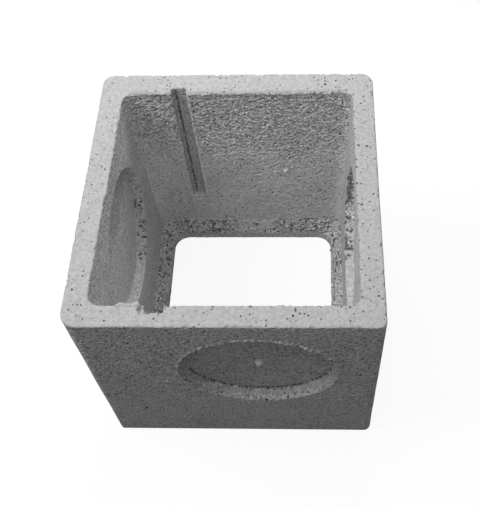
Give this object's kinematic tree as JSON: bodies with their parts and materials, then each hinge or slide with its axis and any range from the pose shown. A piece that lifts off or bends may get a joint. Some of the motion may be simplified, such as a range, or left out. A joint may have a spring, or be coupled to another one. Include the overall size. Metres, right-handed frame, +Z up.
{
  "type": "square precast concrete manhole ring",
  "caption": "Square precast concrete manhole ring: open top, ledged opening through the base, round pipe knock-outs in the walls and upright slots for a dip plate.",
  "frame": {"origin": "middle of the foot, on the floor", "axes": "+Z up through the open rim; -Y out of the front wall, the one with the outer knock-out seen in the picture; +X to the right"},
  "size_m": [0.485, 0.497, 0.472],
  "materials": {
    "concrete": "cast, rough and matte"
  },
  "bodies": {
    "root": {"chamber_ring": "concrete"}
  },
  "joints": []
}
